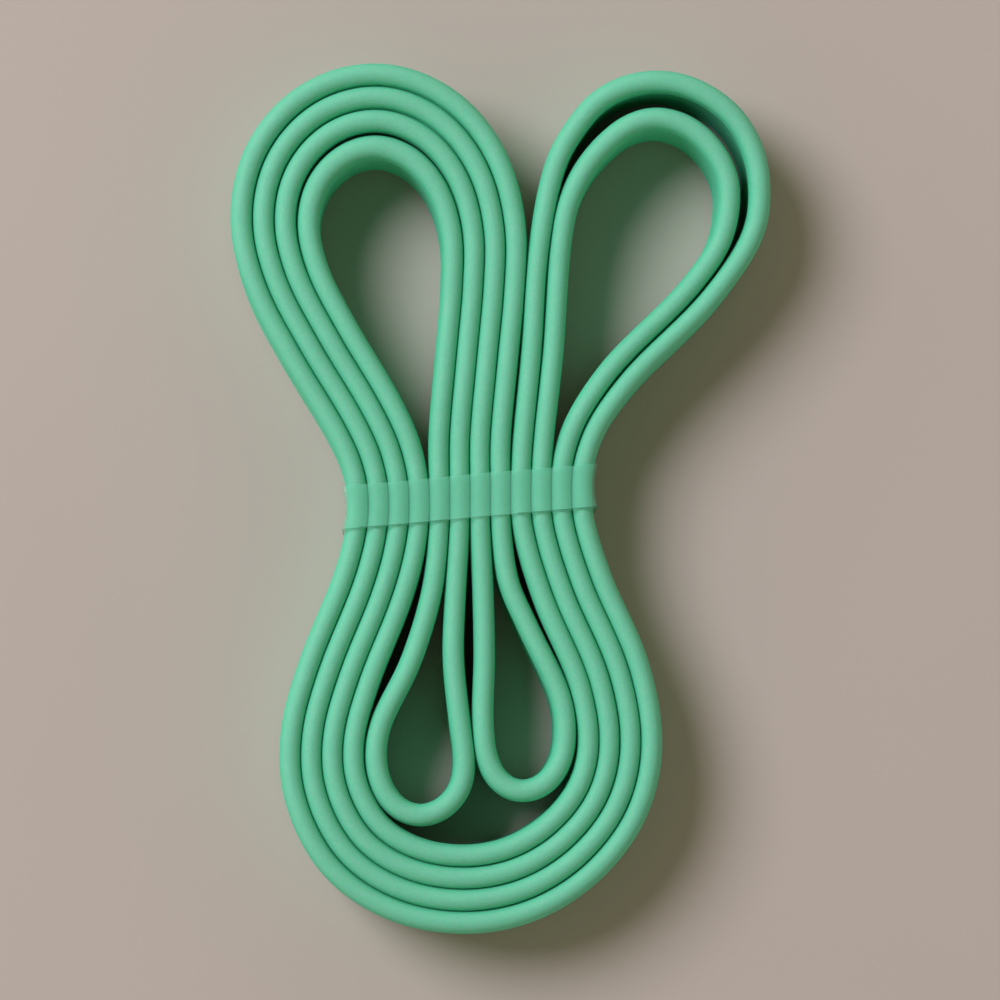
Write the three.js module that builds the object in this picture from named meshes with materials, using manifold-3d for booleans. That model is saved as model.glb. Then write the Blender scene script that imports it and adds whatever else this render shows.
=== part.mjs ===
// A closed-loop resistance band, folded flat into four loops and standing on its edge, with the
// thin clear film sleeve that holds the twelve passes of the fold together at the waist.
// Millimetres, +Z up. The origin is in the middle of the footprint, on the surface it stands on.
// The long loops point along +Y, the round one along -Y, and the sleeve wraps the waist at Y = 0.
import * as THREE from 'three';
import { mergeVertices } from 'three/addons/utils/BufferGeometryUtils.js';
import Module from 'manifold-3d';

// ---------------------------------------------------------------- driving dimensions
const BAND_WIDTH = 21;          // height of the band as it stands on its edge
const BAND_THICKNESS = 3.76;
const EDGE_CHAMFER = 1.0;       // stands for the moulded round along both edges
const STEPS_PER_SPAN = 2;       // route samples between two guide points

const STRANDS = 12;             // passes of the band side by side at the waist
const WAIST_PITCH = 3.94;       // from one pass to the next at the waist
const WAIST_CENTRE_X = -6.1;
const WAIST_SLOPE = Math.tan(THREE.MathUtils.degToRad(4.4)); // the waist line runs askew
const WAIST_STRAIGHT = 3;       // each way from the waist line
const FLANK_PITCH = 4.06;       // along the sides of a nested loop
const LONG_LOOP_PITCH = 4.5;    // at the far end of the loop
const ROUND_LOOP_PITCH = 4.27;
const LONG_LOOP_GAP = 0.7;      // extra room outside the innermost pass, at the far end
const FAR_END_SHARPNESS = 12;   // how closely the looser spacing keeps to the far end

const FILM_THICKNESS = 0.3;
const FILM_WIDTH = 8.5;         // along Y
const FILM_AHEAD = 0.7;         // the middle of the film, ahead of the waist line
const FILM_SLOPE = Math.tan(THREE.MathUtils.degToRad(5.2)); // it sits a little more askew
const FILM_CORNER_RADIUS = 1.2;
const FILM_CORNER_STEPS = 5;
const FILM_SIDE_CLEARANCE = 0.85; // lets the sleeve slide a little before the flare stops it
const FILM_GAP = 0.3;           // over the top edges of the band
const SLEEVE_TRAVEL = 1.5;      // each way along Y
const RELIEF_DEPTH = 0.65;      // where the film presses into the lower edges
const RELIEF_CLEARANCE = 0.5;   // past the film, at both ends of its travel
const MERGE_TOLERANCE = 1e-4;   // vertices closer than this are one vertex

const bandGreen = new THREE.MeshStandardMaterial({ color: 0x6fbf9c, roughness: 0.6, metalness: 0 });
const clearFilm = new THREE.MeshStandardMaterial({
  color: 0xd9e6df,
  roughness: 0.3,
  metalness: 0,
  transparent: true,
  opacity: 0.4,
});

// ---------------------------------------------------------------- the folded route
// A point on one of the strands, by how far ahead of the waist line it is. Strand 1 is the leftmost
// pass at the waist, and strand 12 the rightmost.
function waistPoint(strand, ahead) {
  const across = (strand - (STRANDS + 1) / 2) * WAIST_PITCH;
  return [WAIST_CENTRE_X + across, across * WAIST_SLOPE + ahead];
}

// Innermost pass of the left long loop: up strand 4, down strand 5.
const leftLoop = [
  waistPoint(4, 0), waistPoint(4, WAIST_STRAIGHT), [-16.8, 7.5], [-18.3, 12.6], [-22, 20.3],
  [-30.2, 34.1], [-35.9, 45.5], [-37.6, 54.4], [-35.6, 62], [-30.4, 67.4], [-24, 69.1],
  [-17.4, 66.6], [-12.4, 60.7], [-9.7, 52], [-9.6, 42], [-10.7, 29], [-12.1, 12],
  waistPoint(5, WAIST_STRAIGHT), waistPoint(5, 0),
];
// Inner pass of the right long loop: up strand 10, down strand 11.
const rightInnerLoop = [
  waistPoint(10, 0), waistPoint(10, WAIST_STRAIGHT), [8.15, 11.7], [10.05, 29.2], [11.5, 49.7],
  [13, 57.9], [16, 64.5], [20.5, 70], [25.4, 73.7], [30.7, 74.9], [36.3, 73.3], [40.9, 69.4],
  [43.9, 64], [44.5, 59], [42.8, 50.8], [36.5, 41.5], [21.2, 25.8], [14.2, 15], [11.9, 7.5],
  waistPoint(11, WAIST_STRAIGHT), waistPoint(11, 0),
];
// Outer pass of the right long loop: up strand 9, down strand 12.
const rightOuterLoop = [
  waistPoint(9, 0), waistPoint(9, WAIST_STRAIGHT), [4.2, 11.7], [5.9, 29.2], [7.3, 48.7],
  [10.6, 65.7], [14.1, 72.4], [19.1, 78.3], [25, 81.3], [31.4, 82.1], [38, 80.5], [44.8, 75.8],
  [48.9, 69.2], [50.4, 61.5], [49.2, 52.5], [41, 39.9], [25.3, 23.9], [18.4, 14.2], [16, 7.5],
  waistPoint(12, WAIST_STRAIGHT), waistPoint(12, 0),
];
// Innermost pass of the round loop: down strand 4, up strand 9.
const roundLoop = [
  waistPoint(4, 0), waistPoint(4, -WAIST_STRAIGHT), [-17.2, -11.6], [-19.7, -20.1], [-26, -35.5],
  [-28.6, -46], [-28.1, -54], [-23.6, -62.6], [-16.3, -67.2], [-7.1, -68.7], [1.4, -67.2],
  [9, -62.7], [14.8, -55.6], [16.9, -47.3], [15.15, -35.6], [8.6, -20.1], [5, -9],
  waistPoint(9, -WAIST_STRAIGHT), waistPoint(9, 0),
];
// The two small loops inside it: down strand 5 and up strand 6, down strand 7 and up strand 8.
const smallLeftLoop = [
  waistPoint(5, 0), waistPoint(5, -WAIST_STRAIGHT), [-13.2, -16.4], [-17.3, -31.1],
  [-23.4, -43.8], [-24.3, -50.6], [-22.7, -56.2], [-19.7, -59.7], [-15.6, -61], [-11.3, -59.6],
  [-8, -55.8], [-7.1, -50.5], [-8, -43], [-9.3, -30.9], [-9, -19.3],
  waistPoint(6, -WAIST_STRAIGHT), waistPoint(6, 0),
];
const smallRightLoop = [
  waistPoint(7, 0), waistPoint(7, -WAIST_STRAIGHT), [-3.5, -19.3], [-3.3, -30.9], [-3.6, -43],
  [-2.7, -50.2], [-0.2, -54.5], [3.7, -56.3], [8.2, -55], [11.4, -50.8], [12.45, -45.4],
  [11.6, -38.5], [5.2, -23.6], [1.5, -15.4], waistPoint(8, -WAIST_STRAIGHT), waistPoint(8, 0),
];

function smoothRoute(points) {
  const corners = points.map(([x, y]) => new THREE.Vector3(x, y, 0));
  const curve = new THREE.CatmullRomCurve3(corners, false, 'centripetal');
  return curve.getPoints(STEPS_PER_SPAN * (points.length - 1));
}

// Sideways direction of a route at each of its points, to the left of its travel.
function sideways(route, closed) {
  const last = route.length - 1;
  return route.map((point, i) => {
    const before = closed ? route[(i + last) % route.length] : route[Math.max(i - 1, 0)];
    const after = closed ? route[(i + 1) % route.length] : route[Math.min(i + 1, last)];
    const along = after.clone().sub(before).normalize();
    if (!closed && (i === 0 || i === last)) {
      along.set(0, Math.sign(along.y), 0);
    }
    return new THREE.Vector3(-along.y, along.x, 0);
  });
}

// The passes of a loop, innermost first. They lie against each other, and sit looser at its end.
function nestedLoop(points, { passes, side, endPitch, endGap = 0 }) {
  const inner = smoothRoute(points);
  const normals = sideways(inner, false);
  const travelled = [0];
  for (let i = 1; i < inner.length; i += 1) {
    travelled.push(travelled[i - 1] + inner[i].distanceTo(inner[i - 1]));
  }
  const total = travelled[inner.length - 1];
  const nested = [inner];
  for (let pass = 1; pass < passes; pass += 1) {
    nested.push(inner.map((point, i) => {
      const fromWaist = Math.sin(Math.PI * travelled[i] / total);
      const farEnd = fromWaist ** FAR_END_SHARPNESS;
      const flankPitch = WAIST_PITCH + (FLANK_PITCH - WAIST_PITCH) * fromWaist;
      const pitch = flankPitch + (endPitch - FLANK_PITCH) * farEnd;
      return point.clone().addScaledVector(normals[i], side * (pass * pitch + endGap * farEnd));
    }));
  }
  return nested;
}

// The whole closed route: one simple line that crosses the waist twelve times.
function foldedRoute() {
  const left = nestedLoop(leftLoop, {
    passes: 4,
    side: 1,
    endPitch: LONG_LOOP_PITCH,
    endGap: LONG_LOOP_GAP,
  });
  const round = nestedLoop(roundLoop, {
    passes: 4,
    side: -1,
    endPitch: ROUND_LOOP_PITCH,
  });
  const backwards = (route) => [...route].reverse();
  const legs = [
    left[3],
    backwards(smoothRoute(smallRightLoop)),
    backwards(left[2]),
    round[2],
    backwards(smoothRoute(rightInnerLoop)),
    backwards(round[1]),
    left[1],
    backwards(smoothRoute(smallLeftLoop)),
    backwards(left[0]),
    round[0],
    smoothRoute(rightOuterLoop),
    backwards(round[3]),
  ];
  return legs.flatMap((leg) => leg.slice(0, -1));
}

// ---------------------------------------------------------------- solids
const wasm = await Module();
wasm.setup();

function toSolid(geometry) {
  const bare = geometry.clone();
  bare.deleteAttribute('normal');
  bare.deleteAttribute('uv');
  const merged = mergeVertices(bare, MERGE_TOLERANCE);
  return new wasm.Manifold(new wasm.Mesh({
    numProp: 3,
    vertProperties: new Float32Array(merged.attributes.position.array),
    triVerts: new Uint32Array(merged.index.array),
  }));
}

function toGeometry(solid) {
  const { vertProperties, triVerts } = solid.getMesh();
  const geometry = new THREE.BufferGeometry();
  geometry.setAttribute('position', new THREE.BufferAttribute(vertProperties, 3));
  geometry.setIndex(new THREE.BufferAttribute(triVerts, 1));
  geometry.computeVertexNormals();
  return geometry;
}

// Moves a sleeve's outline to its place: its right end is further along +Y than its left end.
function placeAskew(geometry) {
  const place = geometry.attributes.position;
  for (let i = 0; i < place.count; i += 1) {
    const askew = (place.getX(i) - WAIST_CENTRE_X) * FILM_SLOPE;
    place.setY(i, place.getY(i) + FILM_AHEAD + askew);
  }
  return geometry;
}

const bundleHalfWidth = ((STRANDS - 1) * WAIST_PITCH + BAND_THICKNESS) / 2;
const filmHalfWidth = bundleHalfWidth + FILM_SIDE_CLEARANCE + FILM_THICKNESS;

// Shallow relief under the waist, so that the film passes below the band and it stands level.
function waistRelief() {
  const width = 2 * (filmHalfWidth + RELIEF_CLEARANCE);
  const length = FILM_WIDTH + 2 * (SLEEVE_TRAVEL + RELIEF_CLEARANCE);
  const box = new THREE.BoxGeometry(width, length, 2 * RELIEF_DEPTH);
  return placeAskew(box.translate(WAIST_CENTRE_X, 0, 0));
}

function loopBandGeometry() {
  const route = foldedRoute();
  const normals = sideways(route, true);
  const wall = (offset) => route.map((point, i) => {
    const moved = point.clone().addScaledVector(normals[i], offset);
    return new THREE.Vector2(moved.x, moved.y);
  });
  const walls = [wall(BAND_THICKNESS / 2), wall(-BAND_THICKNESS / 2)];
  const enclosed = (outline) => Math.abs(THREE.ShapeUtils.area(outline));
  const [outside, inside] = walls.sort((a, b) => enclosed(b) - enclosed(a));
  if (THREE.ShapeUtils.isClockWise(outside)) {
    outside.reverse();
  }
  const section = new THREE.Shape(outside);
  section.holes.push(new THREE.Path(inside));
  const geometry = new THREE.ExtrudeGeometry(section, {
    depth: BAND_WIDTH - 2 * EDGE_CHAMFER,
    bevelThickness: EDGE_CHAMFER,
    bevelSize: EDGE_CHAMFER,
    bevelOffset: -EDGE_CHAMFER,
    bevelSegments: 1,
  });
  geometry.translate(0, 0, EDGE_CHAMFER);
  return toGeometry(toSolid(geometry).subtract(toSolid(waistRelief())));
}

// Adds a rounded rectangle, low corner first, to a shape or a path.
function roundedRectangle(path, left, bottom, right, top, radius) {
  path.moveTo(left + radius, bottom);
  path.lineTo(right - radius, bottom);
  path.absarc(right - radius, bottom + radius, radius, -Math.PI / 2, 0);
  path.absarc(right - radius, top - radius, radius, 0, Math.PI / 2);
  path.absarc(left + radius, top - radius, radius, Math.PI / 2, Math.PI);
  path.absarc(left + radius, bottom + radius, radius, Math.PI, 1.5 * Math.PI);
  return path;
}

function clearSleeveGeometry() {
  const left = WAIST_CENTRE_X - filmHalfWidth;
  const right = WAIST_CENTRE_X + filmHalfWidth;
  const top = BAND_WIDTH + FILM_GAP + FILM_THICKNESS;
  const wall = FILM_THICKNESS;
  const ring = roundedRectangle(new THREE.Shape(), left, 0, right, top, FILM_CORNER_RADIUS);
  ring.holes.push(roundedRectangle(
    new THREE.Path(),
    left + wall,
    wall,
    right - wall,
    top - wall,
    FILM_CORNER_RADIUS - wall,
  ));
  const geometry = new THREE.ExtrudeGeometry(ring, {
    depth: FILM_WIDTH,
    bevelEnabled: false,
    curveSegments: FILM_CORNER_STEPS,
  });
  geometry.rotateX(Math.PI / 2);
  geometry.translate(0, FILM_WIDTH / 2, 0);
  return placeAskew(geometry);
}

function piece(name, geometry, material) {
  const mesh = new THREE.Mesh(geometry, material);
  mesh.name = name;
  return mesh;
}

const part = new THREE.Group();
part.add(piece('loop_band', loopBandGeometry(), bandGreen));
part.add(piece('clear_sleeve', clearSleeveGeometry(), clearFilm));

export default part;
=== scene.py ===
import math

import bpy
import numpy as np
from mathutils import Matrix, Vector


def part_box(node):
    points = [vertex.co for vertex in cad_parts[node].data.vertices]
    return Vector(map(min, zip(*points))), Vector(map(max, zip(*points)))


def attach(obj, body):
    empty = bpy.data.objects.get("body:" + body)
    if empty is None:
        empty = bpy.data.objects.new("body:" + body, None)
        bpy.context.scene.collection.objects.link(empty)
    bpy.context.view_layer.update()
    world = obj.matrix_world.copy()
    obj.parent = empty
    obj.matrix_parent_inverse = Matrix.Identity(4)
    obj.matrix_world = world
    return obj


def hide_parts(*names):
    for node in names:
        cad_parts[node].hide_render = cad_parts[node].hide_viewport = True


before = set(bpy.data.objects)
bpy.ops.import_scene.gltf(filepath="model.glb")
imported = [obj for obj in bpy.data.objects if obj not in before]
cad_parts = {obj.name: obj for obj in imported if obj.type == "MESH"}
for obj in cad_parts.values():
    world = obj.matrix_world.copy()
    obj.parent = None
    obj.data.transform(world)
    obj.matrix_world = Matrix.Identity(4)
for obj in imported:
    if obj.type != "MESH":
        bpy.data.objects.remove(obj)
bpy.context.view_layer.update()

MM = 0.001
AHEAD, BEHIND = 1, -1           # the two sides of the waist, towards +Y and -Y

# ---------------------------------------------------------------- the fold
BAND_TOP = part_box("loop_band")[1].z
STRANDS = 12                    # passes side by side at the waist
WAIST_PITCH = 3.94 * MM
WAIST_CENTRE_X = -6.1 * MM
WAIST_SLOPE = math.tan(math.radians(4.4))
WAIST_STRAIGHT = 3 * MM         # each pass leaves the waist straight for this far
FLANK_PITCH = 4.06 * MM         # along the flanks of the nested loops
LONG_LOOP_PITCH = 4.5 * MM      # round the far end of the left long loop
ROUND_LOOP_PITCH = 4.27 * MM    # round the far end of the round loop
LONG_LOOP_GAP = 0.7 * MM        # more room outside the innermost pass of the left long loop
FAR_END_SHARPNESS = 12          # how closely the wider spacing keeps to the far end

CURVE_STEPS = 12                # points between two guide points
ROUTE_STEP = 0.8 * MM
ROUTE_SMOOTHING = 1.6 * MM      # evens out the bends between guide points

# ---------------------------------------------------------------- the section of the band
THICKNESS = 3.86 * MM           # of the passes that lie free
FAR_END_SWELL = 0.34 * MM       # they are thicker by this round the end of a long loop
SWELL_LENGTH = 180 * MM         # a loop shorter than this has only its share of the swell
SWELL_SHARPNESS = 6
SNUG_GAP = 0.05 * MM            # between nested passes
LOOSE_SHARE = 0.6               # how much of the looser spacing at the far ends is gap
INNER_SWELL_SHARE = 0.4         # how much of LONG_LOOP_GAP the innermost pass fills itself

EDGE_ROUND = 1.88 * MM          # the moulded edges are almost half round
EDGE_DEPTH = 2.3 * MM           # and a little deeper than that
EDGE_STEPS = 10
CROWN = 0.02 * MM               # height of the dome between the two rounds
CROWN_STEPS = 3
RIDGE_DEPTH = 2.4 * MM          # moulded ridges run along both walls, below each edge
RIDGE_WIDTH = 0.8 * MM
RIDGE_SIDE = 0.15 * MM          # of that width, in each of their two sloping sides
RIDGE_HEIGHT = 0.12 * MM
WALL_DEPTHS = (5 * MM, 8 * MM)  # further points down the wall, below the ridge

EDGE_WANDER = 0.22 * MM         # how unevenly the edges of the passes line up
WANDER_UNDER_FILM = 0.25        # how much of that is left under the film
WANDER_WAVES = (7, 13, 19, 29)  # waves along the whole band
LEAN = 0.05 * MM                # how far a pass leans to either side
LEAN_WAVES = (9, 17, 23)
WAIST_LIFT = 0.5 * MM           # the lower edges give way over the film
WAIST_LIFT_REACH = 5.4 * MM     # to both sides of the film's middle line
WAIST_LIFT_FADE = 2.2 * MM

# ---------------------------------------------------------------- the film
FILM_WIDTH = 8.5 * MM
FILM_AHEAD = 0.7 * MM           # from the waist to the middle of the film
FILM_SLOPE = math.tan(math.radians(5.2))
FILM_THICKNESS = 0.1 * MM
FILM_TOP_GAP = 0.20 * MM
FILM_FLOOR_GAP = 0.24 * MM
FILM_SIDE_CLEARANCE = 0.45 * MM
FILM_FLARE = 0.65 * MM          # it widens towards both edges, as the passes spread there
FILM_CORNER = 1.6 * MM
FILM_CORNER_STEPS = 8
FILM_STEP = 0.35 * MM
FILM_LAP = 9 * MM               # the two ends of the strip lie over each other underneath
FILM_LAP_RAMP = 1.5 * MM
FILM_LAP_DROP = 0.14 * MM
FILM_DIP = 0.05 * MM            # between the crests of the passes
FILM_DIP_FADE = 0.3 * MM        # height below the band's top in which the dip and curl fade
FILM_EDGE = 0.12 * MM           # the outermost part of each bead
FILM_BEAD = 0.28 * MM           # width of the beads along both edges
FILM_BEAD_FOOT = 1.4            # where it has thinned out, as a multiple of that width
FILM_EDGE_REACH = 1.1           # and where the painted shade of the rolled near edge ends
FILM_ROLL = 2.6                 # thickness of the rolled near edge over that of the film
FILM_FAR_BEAD = 1.5             # the same for the far edge
FILM_FAR_TIP = 0.6              # and for the tip of the far edge
FILM_WAVE = 0.06 * MM           # waviness of the edges, in two waves
FILM_WAVE_RADIANS = (9 * MM, 4.1 * MM)  # the length of one radian of each
FILM_CURL = 0.22 * MM           # how far the near edge stands off the band
FILM_CURL_REACH = 1.2 * MM

# ---------------------------------------------------------------- colours, linear
RUBBER = ((0.058, 0.580, 0.322, 1), (0.066, 0.610, 0.342, 1))
# pale talc bloom, which also serves as the painted highlight on the tops of the passes
BLOOM_AND_PAINTED_HIGHLIGHT = (0.30, 0.61, 0.465, 1)
# painted light: the clear film is tinted green for the light that the green band below scatters up
# through it; its opacity is the film's own haze
FILM_TINT_WITH_PAINTED_BOUNCE = (0.26, 0.85, 0.60)
FILM_OPACITY = 0.19
FILM_HAZE = 0.08                # how much the haze darkens and lightens the tint
# painted shade: the darker, more opaque tint of the rolled near edge of the film
FILM_EDGE_PAINTED_SHADE = (0.07, 0.34, 0.20)
FILM_EDGE_PAINTED_SHADE_OPACITY = 0.45
FLOOR = ((0.520, 0.443, 0.385, 1), (0.560, 0.480, 0.420, 1))
KEY_COLOUR = (0.87, 0.89, 1.0)
ROOM_COLOUR = (1.0, 0.91, 0.69, 1)


# ---------------------------------------------------------------- routes
def waist_point(strand, ahead):
    across = (strand - (STRANDS + 1) / 2) * WAIST_PITCH
    return WAIST_CENTRE_X + across, across * WAIST_SLOPE + ahead


def guide(first_strand, points, last_strand, side):
    """Route of one loop from the waist and back, through points in millimetres."""
    straight = WAIST_STRAIGHT * side
    start = [waist_point(first_strand, 0), waist_point(first_strand, straight)]
    end = [waist_point(last_strand, straight), waist_point(last_strand, 0)]
    middle = [(x * MM, y * MM) for x, y in points]
    return smooth_route(np.array(start + middle + end))


def blend(a, b, start, end, at):
    """From a at the start to b at the end, for each value of at."""
    return ((end - at) * a + (at - start) * b) / (end - start)


def smooth_route(points):
    """Centripetal Catmull-Rom curve through the points."""
    ghost_start = 2 * points[0] - points[1]
    ghost_end = 2 * points[-1] - points[-2]
    padded = np.vstack([ghost_start, points, ghost_end])
    route = []
    for first in range(len(padded) - 3):
        p0, p1, p2, p3 = padded[first:first + 4]
        chords = np.linalg.norm(np.diff(padded[first:first + 4], axis=0), axis=1)
        k0, k1, k2, k3 = np.concatenate([[0], np.cumsum(np.sqrt(chords))])
        at = np.linspace(k1, k2, CURVE_STEPS, endpoint=False)[:, None]
        a1 = blend(p0, p1, k0, k1, at)
        a2 = blend(p1, p2, k1, k2, at)
        a3 = blend(p2, p3, k2, k3, at)
        b1 = blend(a1, a2, k0, k2, at)
        b2 = blend(a2, a3, k1, k3, at)
        route.append(blend(b1, b2, k1, k2, at))
    return np.vstack(route + [points[-1:]])


def sideways(route, closed):
    """Unit normals of a route, to the left of its travel."""
    if closed:
        along = np.roll(route, -1, axis=0) - np.roll(route, 1, axis=0)
    else:
        # Every open route starts and ends along Y, at the waist.
        along = np.gradient(route, axis=0)
        along[0] = (0, np.sign(along[0][1]))
        along[-1] = (0, np.sign(along[-1][1]))
    along /= np.linalg.norm(along, axis=1)[:, None]
    return np.stack([-along[:, 1], along[:, 0]], axis=1)


def travelled(route):
    """Distance along a route to each of its points."""
    return np.concatenate([[0], np.cumsum(np.linalg.norm(np.diff(route, axis=0), axis=1))])


def looseness(route):
    """0 at the waist and 1 at the far end of a loop, for each point of its route."""
    distance = travelled(route)
    return np.sin(math.pi * distance / distance[-1])


def nested_loop(inner, passes, side, end_pitch, end_gap):
    """The passes of a loop, innermost first: (x, y, thickness) along each of them.

    The side of the waist also turns the normals outwards: the loops ahead run clockwise, and
    the loops behind run counterclockwise.
    """
    normals = sideways(inner, closed=False)
    loose = looseness(inner)
    near_end = loose ** FAR_END_SHARPNESS
    pitch = (
        WAIST_PITCH
        + (FLANK_PITCH - WAIST_PITCH) * loose
        + (end_pitch - FLANK_PITCH) * near_end
    )
    nested = []
    for index in range(passes):
        offset = index * pitch + (index > 0) * end_gap * near_end
        pass_route = inner + normals * (side * offset)[:, None]
        gap = SNUG_GAP + LOOSE_SHARE * np.maximum(pitch - FLANK_PITCH, 0)
        if index == 0:
            gap = gap - INNER_SWELL_SHARE * end_gap * near_end
        nested.append(np.column_stack([pass_route, pitch - gap]))
    return nested


def single_loop(route):
    """(x, y, thickness) along a loop that is made of a single pass."""
    swell = FAR_END_SWELL * min(1, travelled(route)[-1] / SWELL_LENGTH)
    return np.column_stack([route, THICKNESS + swell * looseness(route) ** SWELL_SHARPNESS])


def folded_route():
    """The closed route of the whole band, which crosses the waist twelve times."""
    left = nested_loop(guide(4, [
        (-16.8, 7.5), (-18.3, 12.6), (-22, 20.3), (-30.2, 34.1), (-35.9, 45.5), (-37.6, 54.4),
        (-35.6, 62), (-30.4, 67.4), (-24, 69.1), (-17.4, 66.6), (-12.4, 60.7), (-9.7, 52),
        (-9.6, 42), (-10.7, 29), (-12.1, 12),
    ], 5, AHEAD), passes=4, side=AHEAD, end_pitch=LONG_LOOP_PITCH, end_gap=LONG_LOOP_GAP)
    right_inner = single_loop(guide(10, [
        (8.15, 11.7), (10.05, 29.2), (11.5, 49.7), (13, 57.9), (16, 64.5), (20.5, 70),
        (25.4, 73.7), (30.7, 74.9), (36.3, 73.3), (40.9, 69.4), (43.9, 64), (44.5, 59),
        (42.8, 50.8), (36.5, 41.5), (21.2, 25.8), (14.2, 15), (11.9, 7.5),
    ], 11, AHEAD))
    right_outer = single_loop(guide(9, [
        (4.2, 11.7), (5.9, 29.2), (7.3, 48.7), (10.6, 65.7), (14.1, 72.4), (19.1, 78.3),
        (25, 81.3), (31.4, 82.1), (38, 80.5), (44.8, 75.8), (48.9, 69.2), (50.4, 61.5),
        (49.2, 52.5), (41, 39.9), (25.3, 23.9), (18.4, 14.2), (16, 7.5),
    ], 12, AHEAD))
    round_loop = nested_loop(guide(4, [
        (-17.2, -11.6), (-19.7, -20.1), (-25.75, -35.5), (-28.5, -46), (-28.1, -54),
        (-23.6, -62.6), (-16.3, -67.2), (-7.1, -68.7), (1.4, -67.2), (9, -62.7), (14.8, -55.6),
        (16.9, -47.3), (15.15, -35.6), (8.6, -20.1), (5, -9),
    ], 9, BEHIND), passes=4, side=BEHIND, end_pitch=ROUND_LOOP_PITCH, end_gap=0)
    small_left = single_loop(guide(5, [
        (-13.2, -16.4), (-17.5, -31.1), (-23.55, -43.8), (-24.3, -50.6), (-22.7, -56.2),
        (-19.7, -59.7), (-15.6, -61), (-11.3, -59.6), (-8, -55.8), (-7.1, -50.5), (-8, -43),
        (-9.3, -30.9), (-9, -19.3),
    ], 6, BEHIND))
    small_right = single_loop(guide(7, [
        (-3.5, -19.3), (-3.3, -30.9), (-3.6, -43), (-2.7, -50.2), (-0.2, -54.5), (3.7, -56.3),
        (8.2, -55), (11.4, -50.8), (12.45, -45.4), (11.72, -38.5), (4.8, -23.6), (1.3, -15.4),
    ], 8, BEHIND))
    legs = [
        left[3], small_right[::-1], left[2][::-1], round_loop[2], right_inner[::-1],
        round_loop[1][::-1], left[1], small_left[::-1], left[0][::-1], round_loop[0],
        right_outer, round_loop[3][::-1],
    ]
    return even_route(np.vstack([leg[:-1] for leg in legs]))


def even_route(route):
    """The closed route with even steps, and with its bends smoothed a little."""
    closed = np.vstack([route, route[:1]])
    distance = travelled(closed[:, :2])
    count = int(round(distance[-1] / ROUTE_STEP))
    at = np.arange(count) * distance[-1] / count
    even = np.stack([np.interp(at, distance, closed[:, axis]) for axis in (0, 1, 2)], axis=1)
    frequency = np.fft.rfftfreq(count, distance[-1] / count)
    keep = np.exp(-2 * (math.pi * frequency * ROUTE_SMOOTHING) ** 2)
    spectrum = np.fft.rfft(even, axis=0)
    return np.fft.irfft(spectrum * keep[:, None], count, axis=0)


# ---------------------------------------------------------------- meshes
def swept_mesh(name, rings, closed_route):
    """A closed tube of quads through rings of equal length, (rings, points, 3)."""
    count, around = rings.shape[:2]
    index = np.arange(count * around).reshape(count, around)
    after = np.roll(index, -1, axis=0) if closed_route else index[1:]
    here = index if closed_route else index[:-1]
    faces = np.stack([
        here, after, np.roll(after, -1, axis=1), np.roll(here, -1, axis=1),
    ], axis=-1).reshape(-1, 4)
    polygons = faces.tolist()
    if not closed_route:
        polygons += [index[0].tolist(), index[-1][::-1].tolist()]
    mesh = bpy.data.meshes.new(name)
    mesh.from_pydata(rings.reshape(-1, 3).tolist(), [], polygons)
    mesh.validate()
    mesh.shade_smooth()
    piece = bpy.data.objects.new(name, mesh)
    bpy.context.scene.collection.objects.link(piece)
    return piece


def wander(distance, total, waves, seed):
    """Smooth, repeatable unevenness along the closed band, between about -1 and 1."""
    rng = np.random.default_rng(seed)
    value = np.zeros_like(distance)
    for wave in waves:
        height = rng.uniform(0.5, 1)
        phase = rng.uniform(0, 2 * math.pi)
        value += height * np.sin(2 * math.pi * wave * distance / total + phase)
    return value / len(waves)


def edge_profile():
    """The section from one wall over the edge to the other wall: (sideways, depth).

    Sideways is a share of half the thickness. Depth is measured down from the edge.
    """
    half = THICKNESS / 2
    crown_half = half - EDGE_ROUND
    crown = []
    for step in range(-CROWN_STEPS, CROWN_STEPS + 1):
        across = crown_half * step / CROWN_STEPS
        crown.append((across, CROWN * (across / half) ** 2))
    arc = []
    for step in range(1, EDGE_STEPS + 1):
        angle = math.pi / 2 * step / EDGE_STEPS
        arc.append((
            crown_half + EDGE_ROUND * math.sin(angle),
            CROWN * (crown_half / half) ** 2 + EDGE_DEPTH * (1 - math.cos(angle)),
        ))
    ridge = [
        (half, RIDGE_DEPTH),
        (half + RIDGE_HEIGHT, RIDGE_DEPTH + RIDGE_SIDE),
        (half + RIDGE_HEIGHT, RIDGE_DEPTH + RIDGE_WIDTH - RIDGE_SIDE),
        (half, RIDGE_DEPTH + RIDGE_WIDTH),
    ]
    wall = [(half, depth) for depth in WALL_DEPTHS]
    right = arc + ridge + wall
    left = [(-across, depth) for across, depth in reversed(right)]
    profile = np.array(left + crown + right)
    profile[:, 0] /= half
    return profile


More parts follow.
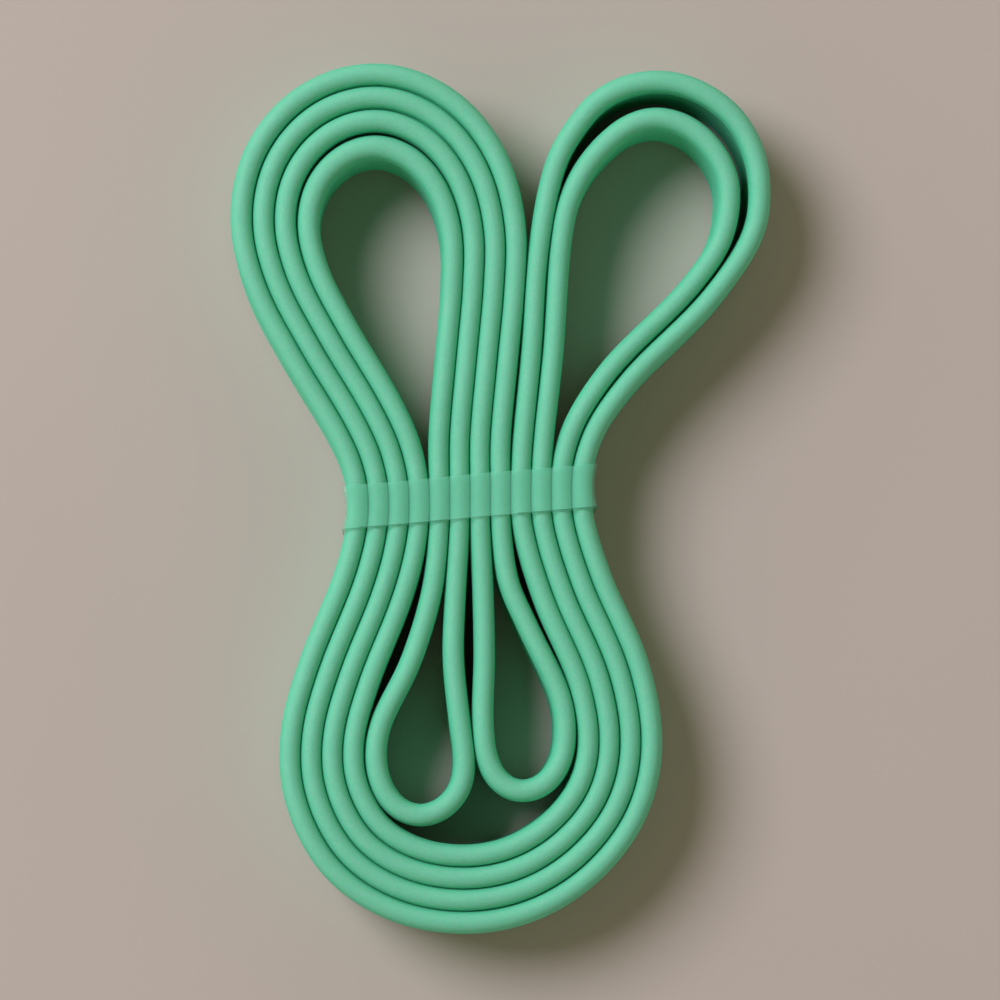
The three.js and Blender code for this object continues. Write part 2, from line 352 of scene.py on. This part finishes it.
def band_piece():
    folded = folded_route()
    route, thickness = folded[:, :2], folded[:, 2]
    normals = sideways(route, closed=True)
    count = len(route)
    total = travelled(np.vstack([route, route[:1]]))[-1]
    distance = np.arange(count) * total / count
    from_film = np.abs(route[:, 1] - (route[:, 0] - WAIST_CENTRE_X) * FILM_SLOPE - FILM_AHEAD)
    past_film = np.clip((from_film - WAIST_LIFT_REACH) / WAIST_LIFT_FADE, 0, 1)
    free = past_film ** 2 * (3 - 2 * past_film)

    uneven = 0.5 + 0.5 * wander(distance, total, WANDER_WAVES, seed=3)
    top = BAND_TOP - EDGE_WANDER * uneven * (WANDER_UNDER_FILM + (1 - WANDER_UNDER_FILM) * free)
    bottom = WAIST_LIFT * (1 - free)
    lean = LEAN * wander(distance, total, LEAN_WAVES, seed=5) * free

    # The profile serves both edges: once down from the top, and once turned over, up from below.
    profile = edge_profile()
    across = np.concatenate([profile[:, 0], -profile[:, 0]])
    depth = np.concatenate([profile[:, 1], profile[:, 1]])
    is_top = np.repeat([1, 0], len(profile))
    height = is_top * (top[:, None] - depth) + (1 - is_top) * (bottom[:, None] + depth)
    lean_across = lean[:, None] * (height / BAND_TOP - 0.5) * 2
    sideways_by = across[None, :] * thickness[:, None] / 2 + lean_across

    rings = np.empty((count, len(across), 3))
    rings[:, :, :2] = route[:, None, :] + normals[:, None, :] * sideways_by[:, :, None]
    rings[:, :, 2] = height
    return swept_mesh("folded_loop_band", rings, closed_route=True)


def film_path():
    """Middle line of the film in the XZ plane, from one end of the lap round to the other."""
    half = ((STRANDS - 1) * WAIST_PITCH + THICKNESS) / 2 + FILM_SIDE_CLEARANCE
    low = FILM_FLOOR_GAP
    high = BAND_TOP + FILM_TOP_GAP + FILM_THICKNESS / 2
    left, right = WAIST_CENTRE_X - half, WAIST_CENTRE_X + half
    corners = [
        (right - FILM_CORNER, low + FILM_CORNER, -90),
        (right - FILM_CORNER, high - FILM_CORNER, 0),
        (left + FILM_CORNER, high - FILM_CORNER, 90),
        (left + FILM_CORNER, low + FILM_CORNER, 180),
    ]
    points = [(WAIST_CENTRE_X - FILM_LAP / 2, low)]
    for x, z, start in corners:
        for step in range(FILM_CORNER_STEPS + 1):
            angle = math.radians(start + 90 * step / FILM_CORNER_STEPS)
            points.append((x + FILM_CORNER * math.cos(angle), z + FILM_CORNER * math.sin(angle)))
    points.append((WAIST_CENTRE_X + FILM_LAP / 2, low))
    points = np.array(points)
    distance = travelled(points)
    at = np.linspace(0, distance[-1], int(distance[-1] / FILM_STEP))
    return np.stack([np.interp(at, distance, points[:, axis]) for axis in (0, 1)], axis=1)


def film_section():
    """Closed section across the strip: stations along its width, and heights off its middle.

    It is thin in the middle, with a rolled bead at the near edge and a flatter one at the far
    edge.
    """
    half = FILM_WIDTH / 2
    foot = half - FILM_BEAD_FOOT * FILM_BEAD
    stations = np.array([
        -half, -half + FILM_EDGE, -half + FILM_BEAD, -foot,
        -half / 2, 0, half / 2,
        foot, half - FILM_BEAD, half - FILM_EDGE, half,
    ])
    thin = FILM_THICKNESS / 2
    heights = thin * np.array([
        1, FILM_ROLL, FILM_ROLL, 1,
        1, 1, 1,
        1, FILM_FAR_BEAD, FILM_FAR_BEAD, FILM_FAR_TIP,
    ])
    return (
        np.concatenate([stations, stations[::-1]]),
        np.concatenate([heights, -heights[::-1]]),
    )


def sleeve_piece():
    path = film_path()
    distance = travelled(path)
    on_top = np.clip((path[:, 1] - (BAND_TOP - FILM_DIP_FADE)) / FILM_DIP_FADE, 0, 1)
    phase = (path[:, 0] - WAIST_CENTRE_X) / WAIST_PITCH
    path[:, 1] -= FILM_DIP * (0.5 + 0.5 * np.cos(2 * math.pi * phase)) * on_top
    # The last part of the strip passes below the first.
    lap_start = distance[-1] - FILM_LAP - FILM_LAP_RAMP
    path[:, 1] -= FILM_LAP_DROP * np.clip((distance - lap_start) / FILM_LAP_RAMP, 0, 1)
    tangent = np.gradient(path, axis=0)
    tangent /= np.linalg.norm(tangent, axis=1)[:, None]
    normals = np.stack([tangent[:, 1], -tangent[:, 0]], axis=1)

    y, out = film_section()
    half = FILM_WIDTH / 2
    edge_wave = np.zeros_like(distance)
    starts = np.random.default_rng(11).uniform(0, 2 * math.pi, len(FILM_WAVE_RADIANS))
    for radian, start in zip(FILM_WAVE_RADIANS, starts):
        edge_wave += FILM_WAVE * np.sin(distance / radian + start)
    from_centre = path[:, 0] - WAIST_CENTRE_X
    flare = FILM_FLARE * from_centre / np.abs(from_centre).max()
    rings = np.empty((len(path), len(y), 3))
    rings[:, :, 0] = path[:, None, 0] + normals[:, None, 0] * out
    rings[:, :, 0] += flare[:, None] * (y / half) ** 2
    rings[:, :, 1] = FILM_AHEAD + y + (from_centre * FILM_SLOPE + edge_wave)[:, None]
    rings[:, :, 2] = path[:, None, 1] + normals[:, None, 1] * out
    curl = np.clip((-y - half + FILM_CURL_REACH) / FILM_CURL_REACH, 0, 1) ** 2
    rings[:, :, 2] += FILM_CURL * curl * on_top[:, None]
    sleeve = swept_mesh("film_sleeve", rings, closed_route=False)

    # The faces of the rolled near edge take the second material. It is a darker, more opaque tint:
    # painted shade along the edge on the side away from the light.
    near_edge = -half + FILM_EDGE_REACH * FILM_BEAD
    shift = FILM_AHEAD + (rings[:, :, 0] - WAIST_CENTRE_X) * FILM_SLOPE
    level = (rings[:, :, 1] - shift).reshape(-1)
    for polygon in sleeve.data.polygons:
        polygon.material_index = int(max(level[v] for v in polygon.vertices) < near_edge)
    return sleeve


# ---------------------------------------------------------------- materials
class Nodes:
    """Short helper for building a node tree round one Principled shader."""

    def __init__(self, name):
        self.material = bpy.data.materials.new(name)
        self.material.use_nodes = True
        self.tree = self.material.node_tree
        self.tree.nodes.clear()
        output = self.add("ShaderNodeOutputMaterial")
        self.shader = self.add("ShaderNodeBsdfPrincipled")
        self.place = self.add("ShaderNodeTexCoord").outputs["Object"]
        self.link(self.shader.outputs["BSDF"], output.inputs["Surface"])

    def add(self, kind, **values):
        """A new node; each value sets the node's property or input of that name."""
        node = self.tree.nodes.new(kind)
        for key, value in values.items():
            if hasattr(node, key):
                setattr(node, key, value)
            else:
                node.inputs[key.replace("_", " ")].default_value = value
        return node

    def link(self, source, target):
        self.tree.links.new(source, target)

    def surface(self, **values):
        """Sets inputs of the shader to values; an underscore stands for a space."""
        for key, value in values.items():
            self.shader.inputs[key.replace("_", " ")].default_value = value

    def noise(self, scale, detail, roughness=0.5, distortion=0.0):
        node = self.add(
            "ShaderNodeTexNoise",
            Scale=scale, Detail=detail, Roughness=roughness, Distortion=distortion,
        )
        self.link(self.place, node.inputs["Vector"])
        return node.outputs["Fac"]

    def ramp(self, source, start, end, dark, light):
        node = self.add("ShaderNodeValToRGB")
        first, last = node.color_ramp.elements
        first.position, last.position = start, end
        first.color, last.color = dark, light
        self.link(source, node.inputs["Fac"])
        return node.outputs["Color"]

    def mix(self, factor, a, b):
        """A mix of two colours; each is a colour or another node's output."""
        node = self.add("ShaderNodeMix", data_type="RGBA", blend_type="MIX")
        for name, colour in (("A", a), ("B", b)):
            if isinstance(colour, tuple):
                node.inputs[name].default_value = colour
            else:
                self.link(colour, node.inputs[name])
        self.link(factor, node.inputs["Factor"])
        return node.outputs["Result"]

    def rescale(self, source, low, high, start=0.0, end=1.0, kind="LINEAR"):
        node = self.add("ShaderNodeMapRange", interpolation_type=kind)
        node.inputs["From Min"].default_value = start
        node.inputs["From Max"].default_value = end
        node.inputs["To Min"].default_value = low
        node.inputs["To Max"].default_value = high
        self.link(source, node.inputs["Value"])
        return node.outputs["Result"]

    def bump(self, source, strength, distance, under=None):
        node = self.add("ShaderNodeBump", Strength=strength, Distance=distance)
        self.link(source, node.inputs["Height"])
        if under is not None:
            self.link(under, node.inputs["Normal"])
        return node.outputs["Normal"]


def grey(value):
    return (value, value, value, 1)


def rubber_material():
    nodes = Nodes("green_rubber_fine")
    broad = nodes.noise(scale=55, detail=2)
    deep = nodes.ramp(broad, start=0.35, end=0.65, dark=RUBBER[0], light=RUBBER[1])
    # A pale colour is mixed in on the faces that look up and hardly in the grooves. It is a painted
    # highlight where the key light falls on the tops, with painted shade left in the grooves. The
    # mottle breaks it into patches of talc bloom.
    normal = nodes.add("ShaderNodeSeparateXYZ")
    nodes.link(nodes.add("ShaderNodeNewGeometry").outputs["Normal"], normal.inputs[0])
    crown = nodes.rescale(
        normal.outputs["Z"], low=0.04, high=1.0, start=0.15, end=0.95, kind="SMOOTHSTEP",
    )
    mottle = nodes.noise(scale=1700, detail=4, roughness=0.65)
    mottle = nodes.ramp(mottle, start=0.42, end=0.70, dark=grey(0), light=grey(1))
    bloom_and_highlight_share = nodes.add("ShaderNodeMath", operation="MULTIPLY")
    nodes.link(crown, bloom_and_highlight_share.inputs[0])
    nodes.link(nodes.rescale(mottle, low=0.32, high=0.48), bloom_and_highlight_share.inputs[1])
    nodes.link(nodes.mix(bloom_and_highlight_share.outputs[0], deep, BLOOM_AND_PAINTED_HIGHLIGHT), nodes.shader.inputs["Base Color"])

    sheen = nodes.noise(scale=420, detail=3)
    rough = nodes.ramp(sheen, start=0.3, end=0.7, dark=grey(0.70), light=grey(0.82))
    nodes.link(rough, nodes.shader.inputs["Roughness"])
    nodes.surface(
        IOR=1.55, Specular_IOR_Level=1.0,
        Subsurface_Weight=0.7, Subsurface_Radius=(0.2, 1.0, 0.55), Subsurface_Scale=1.8 * MM,
    )

    grain = nodes.noise(scale=2100, detail=3, roughness=0.6)
    grain = nodes.bump(grain, strength=0.9, distance=0.09 * MM)
    skin = nodes.noise(scale=380, detail=3, roughness=0.55, distortion=0.4)
    skin = nodes.bump(skin, strength=0.55, distance=0.08 * MM, under=grain)
    nodes.link(skin, nodes.shader.inputs["Normal"])
    return nodes.material


def film_material(name, tint, opacity):
    nodes = Nodes(name)
    haze = nodes.noise(scale=260, detail=3)
    # The tint is painted light: green bounce light on the film, and painted shade on its rolled
    # near edge.
    darker = (*[channel * (1 - FILM_HAZE) for channel in tint], 1)
    lighter = (*[min(1, channel * (1 + FILM_HAZE)) for channel in tint], 1)
    nodes.link(nodes.mix(haze, darker, lighter), nodes.shader.inputs["Base Color"])
    nodes.link(nodes.rescale(haze, low=0.3, high=0.5), nodes.shader.inputs["Roughness"])
    nodes.surface(Alpha=opacity, IOR=1.45)
    crinkle = nodes.bump(nodes.noise(scale=300, detail=2), strength=0.3, distance=0.05 * MM)
    nodes.link(crinkle, nodes.shader.inputs["Normal"])
    return nodes.material


def floor_material():
    nodes = Nodes("plain_floor")
    nodes.link(nodes.mix(nodes.noise(scale=9, detail=3), *FLOOR), nodes.shader.inputs["Base Color"])
    nodes.surface(Roughness=0.9, Specular_IOR_Level=0.1)
    return nodes.material


# ---------------------------------------------------------------- camera, light and floor
def make_camera():
    aim = Vector((-0.32 * MM, 0.06 * MM, BAND_TOP))
    place = aim + Vector((-24.2 * MM, -58.0 * MM, 950 * MM))
    view_width = 193.5 * MM
    data = bpy.data.cameras.new("camera")
    data.sensor_width = 36
    data.lens = data.sensor_width * (place - aim).length / view_width
    data.clip_start = 0.05
    camera = bpy.data.objects.new("camera", data)
    camera.location = place
    # The frame's +Y points straight up in the picture.
    back = (place - aim).normalized()
    right = Vector((0, 1, 0)).cross(back).normalized()
    up = back.cross(right)
    camera.rotation_euler = Matrix((right, up, back)).transposed().to_euler()
    bpy.context.scene.collection.objects.link(camera)
    bpy.context.scene.camera = camera


def make_key():
    """One large, soft key from the upper left."""
    elevation, azimuth, distance = math.radians(48.5), math.radians(147), 2.4
    place = distance * Vector((
        math.cos(elevation) * math.cos(azimuth),
        math.cos(elevation) * math.sin(azimuth),
        math.sin(elevation),
    ))
    key = bpy.data.lights.new("key", "AREA")
    key.shape = "DISK"
    key.size = 1.35
    key.energy = 52
    key.color = KEY_COLOUR
    lamp = bpy.data.objects.new("key", key)
    lamp.location = place
    lamp.rotation_euler = place.to_track_quat("Z", "Y").to_euler()
    bpy.context.scene.collection.objects.link(lamp)


def make_room():
    """A warm, plain room that is darker overhead."""
    world = bpy.data.worlds.new("studio")
    world.use_nodes = True
    tree = world.node_tree
    backdrop = tree.nodes["Background"]
    backdrop.inputs["Color"].default_value = ROOM_COLOUR
    direction = tree.nodes.new("ShaderNodeTexCoord")
    split = tree.nodes.new("ShaderNodeSeparateXYZ")
    fall = tree.nodes.new("ShaderNodeMapRange")
    fall.interpolation_type = "SMOOTHSTEP"
    fall.inputs["From Min"].default_value = 0.45
    fall.inputs["From Max"].default_value = 0.95
    fall.inputs["To Min"].default_value = 0.52
    fall.inputs["To Max"].default_value = 0.06
    tree.links.new(direction.outputs["Generated"], split.inputs[0])
    tree.links.new(split.outputs["Z"], fall.inputs["Value"])
    tree.links.new(fall.outputs["Result"], backdrop.inputs["Strength"])
    bpy.context.scene.world = world


def make_floor():
    half = 1.5
    below_band = 0.02 * MM
    mesh = bpy.data.meshes.new("floor")
    corners = [(-half, -half, 0), (half, -half, 0), (half, half, 0), (-half, half, 0)]
    mesh.from_pydata(corners, [], [(0, 1, 2, 3)])
    floor = bpy.data.objects.new("floor", mesh)
    floor.location.z = -below_band
    mesh.materials.append(floor_material())
    bpy.context.scene.collection.objects.link(floor)


# ---------------------------------------------------------------- the model
make_camera()
make_key()
make_room()
make_floor()
bpy.context.scene.view_settings.view_transform = "Standard"

band = band_piece()
band.data.materials.append(rubber_material())
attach(band, "folded_band")
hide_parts("loop_band")

sleeve = sleeve_piece()
sleeve.data.materials.append(film_material("clear_film_fine", FILM_TINT_WITH_PAINTED_BOUNCE, FILM_OPACITY))
sleeve.data.materials.append(film_material("clear_film_edge_painted_shade", FILM_EDGE_PAINTED_SHADE, FILM_EDGE_PAINTED_SHADE_OPACITY))
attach(sleeve, "sleeve")
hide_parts("clear_sleeve")
